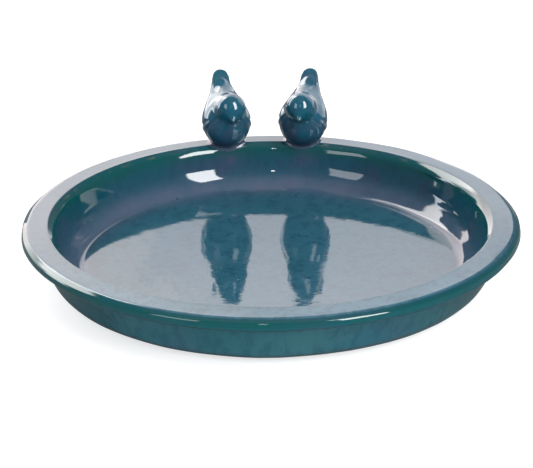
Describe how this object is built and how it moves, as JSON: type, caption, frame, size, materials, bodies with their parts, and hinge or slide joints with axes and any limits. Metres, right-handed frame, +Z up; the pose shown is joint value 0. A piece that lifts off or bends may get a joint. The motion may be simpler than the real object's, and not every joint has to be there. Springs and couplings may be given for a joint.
{
  "type": "bird bath",
  "caption": "Shallow round glazed ceramic bird bath with a broad flat rim, a dished floor, and small birds sitting on the rim facing inwards.",
  "frame": {"origin": "centre of the foot ring's resting plane, on the dish's axis", "axes": "+Z up along the dish's axis; -Y is the front; the birds stand on the rim at the back, +Y, and face the middle"},
  "size_m": [0.33, 0.3374, 0.0872],
  "materials": {
    "basin_glaze": "high-gloss reactive teal glaze over warm clay, bare clay on the foot ring",
    "bird_glaze": "high-gloss reactive teal glaze",
    "slip_glaze": "high-gloss teal glaze, pooled and lighter blue"
  },
  "bodies": {
    "root": {"basin": "basin_glaze", "left_bird": "bird_glaze", "right_bird": "bird_glaze", "left_bird_slip_joint": "slip_glaze", "right_bird_slip_joint": "slip_glaze"}
  },
  "joints": []
}
